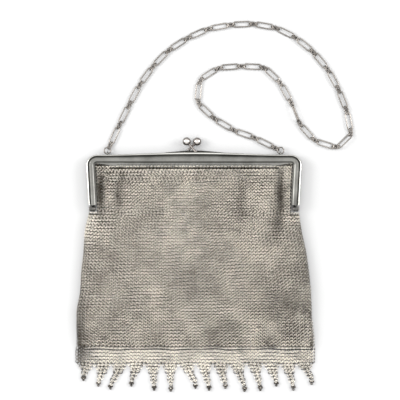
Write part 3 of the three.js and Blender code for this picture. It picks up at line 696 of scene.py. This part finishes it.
def chain_links():
    """Ends and roll of every long link, laid one after another along the route."""
    route, length = smooth_route()
    bare = LINK_LENGTH - LINK_WIRE
    gap = (length - 2 * END_GAP - LINKS * bare) / (LINKS - 1)
    rolls = RANDOM.uniform(-11, 11, LINKS)
    links = []
    for i in range(LINKS):
        start = END_GAP + i * (bare + gap)
        a = route[min(len(route) - 1, int(start / ROUTE_STEP))]
        b = route[min(len(route) - 1, int((start + bare) / ROUTE_STEP))]
        along = unit(b - a)
        middle = (a + b) / 2
        roll = math.radians(LINK_ROLLS.get(i + 1, rolls[i]))
        lift = abs(math.sin(roll)) * (LINK_WIDTH - LINK_WIRE) / 2 + LINK_WIRE / 2
        height = max(LINK_HEIGHT, lift)
        half = along * bare / 2
        links.append((np.append(middle - half, height), np.append(middle + half, height), roll))
    return links


def stadium(start, end, roll, steps=12):
    """A link's centre line: two straight sides and round ends."""
    along = unit(end - start)
    flat = np.cross([0, 0, 1], along)
    across = flat * math.cos(roll) + np.array([0, 0, 1]) * math.sin(roll)
    radius = (LINK_WIDTH - LINK_WIRE) / 2
    reach = 0.8 * radius
    line = []
    for centre, sign in ((end - along * reach, 1), (start + along * reach, -1)):
        for i in range(steps + 1):
            angle = lerp(-math.pi / 2, math.pi / 2, i / steps)
            turned = along * reach * math.cos(angle) + across * radius * math.sin(angle)
            line.append(centre + sign * turned)
        if sign > 0:
            line += [lerp(line[-1], start + along * reach + across * radius, s) for s in (0.25, 0.5, 0.75)]
    first = line[0]
    line += [lerp(line[-1], first, s) for s in (0.25, 0.5, 0.75)]
    return np.array(line), np.cross(along, across)


def knot_rings(start, end):
    """Small rings between two anchors, the first and last leaning and the middle one lying flat."""
    along = end - start
    distance = np.linalg.norm(along)
    along = along / distance
    side = unit(np.cross([0, 0, 1.0], along))
    inset = min(distance * 0.11, KNOT_RADIUS - KNOT_WIRE)
    rings = []
    for i in range(KNOT_RINGS):
        centre = start + along * lerp(inset, distance - inset, i / (KNOT_RINGS - 1))
        if i % 2 == 0:
            lean = math.radians(RANDOM.uniform(42, 64)) * RANDOM.choice([-1, 1])
            across = side * math.sin(lean) + np.array([0, 0, 1]) * math.cos(lean)
            centre[2] = KNOT_RADIUS * math.cos(lean) + KNOT_WIRE / 2
        else:
            lean = math.radians(RANDOM.uniform(-16, 16))
            across = side * math.cos(lean) + np.array([0, 0, 1]) * math.sin(lean)
            centre[2] = CHAIN_HEIGHT
        rings.append((centre, along, across))
    return rings


def chain():
    links = chain_links()
    lines, normals = zip(*[stadium(*link) for link in links])
    points, quads = wires(np.array(lines), np.array(normals), LINK_WIRE / 2, 10)
    dark = np.full(len(points), 0.4)
    long_links = (points, quads, dark)
    left, right = ring_centre(-1), ring_centre(1)
    rings = knot_rings(toward(left, links[0][0]), links[0][0])
    for a, b in zip(links, links[1:]):
        rings += knot_rings(a[1], b[0])
    rings += knot_rings(toward(right, links[-1][1]), links[-1][1])
    centres, along, across = (np.array(v) for v in zip(*rings))
    lines, normals = ovals(centres, along, across, KNOT_RADIUS, KNOT_RADIUS, 22)
    ring_points, ring_quads = wires(lines, normals, KNOT_WIRE / 2, 8)
    points = np.concatenate([long_links[0], ring_points])
    quads = np.concatenate([long_links[1], ring_quads + len(long_links[0])])
    dark = np.concatenate([long_links[2], np.full(len(ring_points), 0.5)])
    return mesh_object("chain_links", points, quads, chain_silver, dark)


def toward(ring, link_end):
    """The far side of a jump ring's wire, seen from its middle towards a link."""
    flat = link_end - ring
    flat[2] = 0
    place = ring + unit(flat) * RING_RADIUS
    place[2] = CHAIN_HEIGHT
    return place


# Ring mesh of the bag
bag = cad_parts["mesh_bag"]
skin = BVHTree.FromPolygons(
    [v.co for v in bag.data.vertices], [tuple(p.vertices) for p in bag.data.polygons])
FAR = 50 * MM
SAMPLES = 240


def height_at(x, y, side):
    hit = skin.ray_cast(Vector((x, y, side * FAR)), Vector((0, 0, -side)))[0]
    return None if hit is None else hit.z


def outermost(y, end):
    """The bag's outermost point at one side of a row, as x and z."""
    best = None
    for z in np.arange(0.5, 9.5, 0.5) * MM:
        hit = skin.ray_cast(Vector((end * 2 * FAR, y, z)), Vector((-end, 0, 0)))[0]
        if hit is not None and (best is None or hit.x * end > best[0] * end):
            best = (hit.x, hit.z)
    return best


def evenly(line, count):
    """The same line of (x, z) with its points evenly spaced, and its length."""
    length = np.concatenate([[0], np.cumsum(np.linalg.norm(np.diff(line, axis=0), axis=1))])
    places = np.linspace(0, length[-1], count)
    return np.stack([np.interp(places, length, line[:, k]) for k in range(line.shape[1])], 1)


def section(y, side, between_arms):
    """The front or back skin across one row, from left to right."""
    left, right = outermost(y, -1), outermost(y, 1)
    middle, half = (left[0] + right[0]) / 2, (right[0] - left[0]) / 2
    if between_arms:
        half -= 0.6 * MM
    share = np.sin(np.linspace(-1, 1, SAMPLES) * math.pi / 2) * 0.9995
    line = []
    for x in middle + half * share:
        z = height_at(x, y, side)
        if z is not None:
            line.append((x, z))
    if not between_arms:
        line = [left, *line, right]
    return evenly(np.array(line), SAMPLES)


def softened(values, spread, axis):
    """Values smoothed along one axis with a bell of that spread, in steps."""
    reach = int(3 * spread)
    weights = np.exp(-0.5 * (np.arange(-reach, reach + 1) / spread) ** 2)
    weights /= weights.sum()
    padding = [(0, 0)] * values.ndim
    padding[axis] = (reach, reach)
    padded = np.pad(values, padding, mode="reflect", reflect_type="odd")
    out = np.zeros_like(values)
    for k, weight in enumerate(weights):
        out += weight * np.take(padded, range(k, k + values.shape[axis]), axis=axis)
    return out


def row_levels():
    """Heights up the bag of the rows, a row's spacing apart along the front."""
    levels = [MOUTH - 0.62 * MM]
    while levels[-1] > BAG_BOTTOM + MAIL_INSET + ROW * 0.5:
        here, below = height_at(0, levels[-1], 1), height_at(0, levels[-1] - ROW, 1)
        slope = 0 if below is None else (here - below) / ROW
        levels.append(levels[-1] - ROW / math.hypot(1, slope))
    steps = softened(np.diff(levels), 4, 0)
    steps *= (levels[-1] - levels[0]) / steps.sum()
    return levels[0] + np.concatenate([[0], np.cumsum(steps)])


LEVELS = row_levels()
ARM_ROWS = int((LEVELS > HINGE_END - MM).sum())
CORNER_ROWS = 2               # rows above the first, in the corners beside the flange
ARM_LEVELS = np.concatenate([LEVELS[0] + ROW * np.arange(CORNER_ROWS, 0, -1), LEVELS[:ARM_ROWS]])


def arm_inside(y):
    """The inner edge of an arm, at the side of the frame."""
    outer = np.interp(y, [ARM_END, CORNER_Y], [HINGE_WIDTH / 2, FRAME_WIDTH / 2])
    return outer - ARM_RISE - ARM_FALL - ARM_FLANGE_WIDTH


def sampled(values, place):
    """Pairs of values at places between a row's samples."""
    return np.stack([np.interp(place, np.arange(SAMPLES), values[:, k]) for k in (0, 1)], 1)


def sheet_rings(side):
    """Middles, row directions, downward directions and parities of the rings of the front or back sheet."""
    groups = [(LEVELS[ARM_ROWS:], ARM_ROWS, False), (ARM_LEVELS, -CORNER_ROWS, True)]
    centres, across, down, parity, spacing = [], [], [], [], []
    below = None
    for levels, first, between_arms in groups:
        lines = np.array([
            section(min(max(y, BAG_BOTTOM + 0.05 * MM), LEVELS[0]), side, between_arms) for y in levels])
        lines = softened(softened(lines, 1.6, 0), 2.2, 1)
        columns = BODY_COLUMNS - (2 * OUTER_COLUMNS if between_arms else 0)
        tangents = unit(np.gradient(lines, axis=1))
        normals = np.stack([-tangents[..., 1], tangents[..., 0]], -1) * side
        lines = lines - normals * MAIL_INSET
        slopes = np.gradient(lines, axis=0)
        fall = np.gradient(levels)
        for j, y in enumerate(levels):
            odd = (first + j) % 2
            share = (np.arange(columns + 1 - odd) + 0.5 * odd) / columns
            if side < 0 and not between_arms and not odd:
                share = share[1:-1]
            place = share * (SAMPLES - 1)
            if between_arms:
                held = math.exp((j + 1 - len(levels)) / JOIN_ROWS)
                xs = lines[j][:, 0]
                shares = np.concatenate([[0], share, [1]])
                own = np.interp(shares * (SAMPLES - 1), np.arange(SAMPLES), xs)
                kept = np.interp(OUTER_COLUMNS + shares * columns, np.arange(len(below)), below)
                spots = lerp(own, kept, held)
                end = arm_inside(y) - BESIDE_ARM
                spots *= np.where(spots < 0, -end / spots[0], end / spots[-1])
                place = np.interp(spots[1:-1], xs, np.arange(SAMPLES))
            middle, tangent, slope = (sampled(values[j], place) for values in (lines, tangents, slopes))
            length = np.linalg.norm(np.diff(lines[j], axis=0), axis=1).sum()
            if between_arms:
                middle[:, 0] = spots[1:-1]
                clear = y < -BAR_FALL - BESIDE_BAR - np.array([flange_width(x) for x in middle[:, 0]])
                place, middle, tangent, slope = place[clear], middle[clear], tangent[clear], slope[clear]
            flat = np.zeros(len(place))
            centres.append(np.stack([middle[:, 0], flat + y, middle[:, 1]], 1))
            across.append(np.stack([tangent[:, 0], flat, tangent[:, 1]], 1))
            down.append(np.stack([slope[:, 0], flat + fall[j], slope[:, 1]], 1))
            parity.append(flat + odd)
            spacing.append(flat + length / columns)
        if not between_arms:
            below = np.interp(
                np.linspace(0, SAMPLES - 1, columns + 1), np.arange(SAMPLES), lines[0][:, 0])
    return [np.concatenate(v) for v in (centres, across, down, parity, spacing)]


def stains_and_shade_at(centres):
    """How dark the rings are, from the stains and painted shade, a slow drift over the bag and chance."""
    x, y = centres[:, 0] / MM, centres[:, 1] / MM
    dark = 0.1 + 0.05 * np.sin(x / 9 + 1.3 * np.sin(y / 17)) + 0.04 * np.sin(y / 7 + x / 31)
    for patch in STAINS_AND_SHADE:
        aside, along = (x - patch.x) / patch.across, (y - patch.y) / patch.down
        dark += patch.strength * np.exp(-aside ** 2 - along ** 2)
    return dark + RANDOM.normal(0, 0.07, len(x))


def wander(centres):
    """How far the rings stray sideways and along the bag, neighbours alike, because the mesh isn't taut."""
    x, y = centres[:, 0] / MM, centres[:, 1] / MM
    aside = 0.16 * np.sin(y / 4.3 + x / 23) + 0.12 * np.sin(x / 8.1 - y / 6.7)
    along = 0.28 * np.sin(x / 6.1 + 2 * np.sin(y / 13)) + 0.2 * np.sin(x / 2.9 + y / 7.9)
    held = np.clip((-y - 6) / 10, 0, 1)
    return np.stack([aside * MM, along * held * MM, np.zeros(len(x))], 1)


def mail(name, centres, across, down, out, parity, spacing, steps, sides, length=RING_DOWN):
    """Leaning oval rings, every other row the other way, so that each passes through its neighbours."""
    across = unit(across)
    out = unit(out)
    fall = unit(np.cross(across, out))
    tilt = MAIL_TILT * np.where(parity > 0.5, 1, -1) + RANDOM.normal(0, 0.06, len(centres))
    lean = fall * np.cos(tilt)[:, None] + out * np.sin(tilt)[:, None]
    middles = centres + wander(centres) + RANDOM.normal(0, 0.05 * MM, centres.shape)
    lines, normals = ovals(middles, across, lean, RING_ACROSS * spacing, length, steps)
    points, quads = wires(lines, normals, MAIL_WIRE / 2, sides)
    each = steps * sides
    height = np.einsum("ij,ij->i", points - np.repeat(centres, each, 0), np.repeat(out, each, 0))
    depth = height / (length * math.sin(MAIL_TILT))
    # Painted shade: a ring's parts deeper in the mesh are darker, and its outermost parts stay clean
    painted_shade = np.interp(depth, [-0.5, 0.4, 0.95], [SHADE_INSIDE, SHADE_MIDDLE, 0])
    dark = np.clip(np.repeat(stains_and_shade_at(centres), each) + painted_shade, 0, 1)
    return mesh_object(name, points, quads, mesh_silver, dark)


def sheet(name, side, parts, steps, sides):
    centres, across, down, parity, spacing = sheet_rings(side)
    out = np.cross(down, across) * side
    made = []
    for i, pick in enumerate(np.array_split(np.arange(len(centres)), parts)):
        rings = [values[pick] for values in (centres, across, down, out, parity, spacing)]
        made.append(mail(f"{name}_{i + 1}", *rings, steps, sides))
    return made


def bottom_edge():
    """The outline of the bag's bottom fold, as its left and right ends."""
    y = BAG_BOTTOM + 0.4 * MM
    return outermost(y, -1)[0], outermost(y, 1)[0]


def bottom_fold():
    """The row of rings that turns round the bottom of the bag, from the front sheet to the back one."""
    left, right = bottom_edge()
    columns = BODY_COLUMNS
    odd = len(LEVELS) % 2
    share = (np.arange(1, columns) if not odd else np.arange(columns) + 0.5) / columns
    count = len(share)
    top = height_at(0, BAG_BOTTOM + 0.3 * MM, 1)
    centres = np.stack([
        lerp(left, right, share), np.full(count, BAG_BOTTOM + 0.5 * MM), np.full(count, top * 0.5)], 1)
    across = np.tile([1.0, 0, 0], (count, 1))
    down = np.tile([0, 0, -1.0], (count, 1))
    out = np.tile([0, -1.0, 0], (count, 1))
    parity = np.full(count, odd)
    spacing = np.full(count, (right - left) / columns)
    return mail("mail_bottom_fold", centres, across, down, out, parity, spacing, 8, 3, RING_DOWN * 0.95)


def frame_loops(name, side):
    """The rings that hold the mesh to the frame, one through each eyelet of a flange."""
    xs = np.array(eyelet_places())
    height = PARTING + side * (CLEARANCE / 2 + FLANGE_MIDDLE * HALF_DEPTH)
    count = len(xs)
    middle = -BAR_FALL - FLANGE_WIDTH / 2 - 1.05 * MM
    centres = np.stack([xs, np.full(count, middle), np.full(count, height)], 1)
    turn = RANDOM.normal(0.25, 0.12, count)
    across = np.stack([np.sin(turn), np.zeros(count), np.cos(turn)], 1)
    along = np.tile([0, 1.0, 0], (count, 1))
    lines, normals = ovals(centres, along, across, 1.15 * MM, 0.82 * MM, 14)
    points, quads = wires(lines, normals, LOOP_WIRE / 2, 6)
    return mesh_object(name, points, quads, mesh_silver, np.full(len(points), 0.75))


# Fringe
def fringe():
    left, right = bottom_edge()
    top = BAG_BOTTOM - CLEARANCE
    rows = round(FRINGE_BAND / ROW)
    step = FRINGE_BAND / rows
    centres, parity, spacing = [], [], []
    column = (right - left) / BODY_COLUMNS
    for j in range(rows):
        odd = j % 2
        for i in range(BODY_COLUMNS + 1 - odd):
            x = left + (i + 0.5 * odd) * column
            centres.append((x, top - (j + 0.5) * step, FRINGE_HEIGHT))
            parity.append(odd)
            spacing.append(column)
    foot = top - FRINGE_BAND
    pitch = (right - left) / len(FRINGE_POINTS)
    tips = []
    for i, point in enumerate(FRINGE_POINTS):
        middle = left + (i + 0.5) * pitch
        drop = point.length * FRINGE_POINT - 2.6 * MM
        count = round(drop / ROW)
        for j in range(count + 1):
            share = j / count
            half = np.interp(share, POINT_DOWN, POINT_HALF) * pitch
            x = middle + np.interp(share, POINT_DOWN, POINT_LEAN) * point.lean * pitch
            odd = (rows + j) % 2
            offsets = (np.arange(-3, 4) + 0.5 * odd) * FRINGE_PITCH
            kept = [o for o in offsets if abs(o) <= half - 0.3 * FRINGE_PITCH]
            if not kept:
                kept = [0.0] if share > 0.5 else [-0.5 * FRINGE_PITCH, 0.5 * FRINGE_PITCH]
            for offset in kept:
                centres.append((x + offset, foot - (j + 0.5) * ROW, FRINGE_HEIGHT))
                parity.append(odd)
                spacing.append(FRINGE_PITCH)
        tips.append((middle + point.lean * pitch, foot - drop - ROW))
    centres = np.array(centres, float)
    count = len(centres)
    across = np.tile([1.0, 0, 0], (count, 1))
    down = np.tile([0, -1.0, 0], (count, 1))
    out = np.tile([0, 0, 1.0], (count, 1))
    body = mail("fringe_mail", centres, across, down, out, np.array(parity), np.array(spacing), 9, 4)
    return body, tips


def fringe_drops(tips):
    """The little cluster at the end of each point: two drops side by side and one below them."""
    points, faces, count = [], [], 0
    for x, y in tips:
        for dx, dy in ((-0.85, 0), (0.85, 0), (0, -1.5)):
            radius = DROP_RADIUS * RANDOM.uniform(0.9, 1.08)
            rows = []
            steps = 8
            for i in range(steps + 1):
                angle = i / steps * math.pi
                rows.append((0 if i in (0, steps) else radius * math.sin(angle), -radius * math.cos(angle)))
            centre = (x + dx * MM, y - 0.55 * MM + dy * MM, FRINGE_HEIGHT)
            ball, ball_faces = revolved(rows, centre, (0, 0, 1), 12)
            points.append(ball)
            faces += [tuple(v + count for v in face) for face in ball_faces]
            count += len(ball)
    points = np.concatenate(points)
    return outward(mesh_object("fringe_drops", points, faces, chain_silver, np.full(len(points), 0.9)))


# Put together
def place(piece, slot, *nodes):
    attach(piece, "root")
    if nodes:
        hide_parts(*nodes)
    return piece


place(half_frame("frame_front_moulded", 1), "frame_silver", "frame_front")
place(half_frame("frame_back_moulded", -1), "frame_silver", "frame_back")
for hand, end in (("left", -1), ("right", 1)):
    place(hinge_rivet(f"rivet_{hand}", end), "bright_silver", f"hinge_rivet_{hand}")
    place(jump_ring(f"jump_ring_{hand}", end), "chain_silver", f"chain_ring_{hand}")
for face, side in (("front", 1), ("back", -1)):
    place(clasp_knob(f"knob_{face}", side), "bright_silver", f"clasp_knob_{face}")
    place(frame_loops(f"frame_loops_{face}", side), "mesh_silver")
place(chain(), "chain_silver", "chain")
for piece in sheet("mail_front", 1, 3, 10, 3):
    place(piece, "mesh_silver", "mesh_bag")
for piece in sheet("mail_back", -1, 2, 8, 3):
    place(piece, "mesh_silver", "mesh_bag")
place(bottom_fold(), "mesh_silver")
fringe_body, fringe_tips = fringe()
place(fringe_body, "mesh_silver", "fringe")
place(fringe_drops(fringe_tips), "chain_silver")


# Floor, light and camera
ZENITH_LIGHT = 2.25
HORIZON_LIGHT = 0.12
SIDE_LIGHT = 0.12
FLOOR_GREY = 0.4
VIEW_WIDTH = 260 * MM
VIEW_CENTRE = (3.9 * MM, -26.65 * MM)
LENS = 100
SENSOR = 36
HALF_FRAME_HEIGHT = 4 * MM
BOX_TARGET = (0, -0.02, 0)
SoftBox = namedtuple("SoftBox", "name place size power")
SOFT_BOXES = [
    SoftBox("left_light", (-0.85, 0.18, 0.62), 0.5, 11),
    SoftBox("right_light", (0.85, 0.18, 0.62), 0.5, 8),
]


def white_floor():
    size = 3
    corners = [(-size, -size, 0), (size, -size, 0), (size, size, 0), (-size, size, 0)]
    paper = bpy.data.materials.new("paper")
    paper.use_nodes = True
    shader = paper.node_tree.nodes["Principled BSDF"]
    shader.inputs["Base Color"].default_value = (FLOOR_GREY, FLOOR_GREY, FLOOR_GREY, 1)
    shader.inputs["Roughness"].default_value = 0.9
    floor = mesh_object("floor", corners, [(0, 1, 2, 3)], paper)


def studio_world():
    """Soft surroundings, brightest overhead, a little brighter beyond the clasp, dark at the horizon."""
    world = bpy.data.worlds.new("studio")
    bpy.context.scene.world = world
    world.use_nodes = True
    nodes, links = world.node_tree.nodes, world.node_tree.links
    place = nodes.new("ShaderNodeTexCoord")
    split = nodes.new("ShaderNodeSeparateXYZ")
    links.new(place.outputs["Generated"], split.inputs["Vector"])
    ramps = []
    for axis, low, high in (("Z", HORIZON_LIGHT, ZENITH_LIGHT), ("Y", -SIDE_LIGHT, SIDE_LIGHT)):
        ramp = nodes.new("ShaderNodeMapRange")
        ramp.interpolation_type = "SMOOTHSTEP"
        ramp.inputs["From Min"].default_value = 0 if axis == "Z" else -0.9
        ramp.inputs["From Max"].default_value = 0.95 if axis == "Z" else 0.9
        ramp.inputs["To Min"].default_value = low
        ramp.inputs["To Max"].default_value = high
        links.new(split.outputs[axis], ramp.inputs["Value"])
        ramps.append(ramp)
    total = nodes.new("ShaderNodeMath")
    total.operation = "ADD"
    links.new(ramps[0].outputs["Result"], total.inputs[0])
    links.new(ramps[1].outputs["Result"], total.inputs[1])
    floor_value = nodes.new("ShaderNodeMath")
    floor_value.operation = "MAXIMUM"
    floor_value.inputs[1].default_value = 0.03
    links.new(total.outputs["Value"], floor_value.inputs[0])
    background = nodes["Background"]
    background.inputs["Color"].default_value = (1, 1, 1, 1)
    links.new(floor_value.outputs["Value"], background.inputs["Strength"])


def soft_box(box):
    light = bpy.data.lights.new(box.name, "AREA")
    light.shape = "SQUARE"
    light.size = box.size
    light.energy = box.power
    lamp = bpy.data.objects.new(box.name, light)
    lamp.location = box.place
    lamp.rotation_mode = "QUATERNION"
    lamp.rotation_quaternion = (Vector(BOX_TARGET) - Vector(box.place)).to_track_quat("-Z", "Y")
    bpy.context.scene.collection.objects.link(lamp)


def straight_down_camera():
    """The photograph's view: 260 mm across, from straight above through a long lens."""
    data = bpy.data.cameras.new("camera")
    data.lens = LENS
    data.sensor_width = SENSOR
    camera = bpy.data.objects.new("camera", data)
    camera.location = (*VIEW_CENTRE, VIEW_WIDTH * LENS / SENSOR + HALF_FRAME_HEIGHT)
    bpy.context.scene.collection.objects.link(camera)
    bpy.context.scene.camera = camera


white_floor()
studio_world()
for box in SOFT_BOXES:
    soft_box(box)
straight_down_camera()
bpy.context.scene.view_settings.view_transform = "Standard"
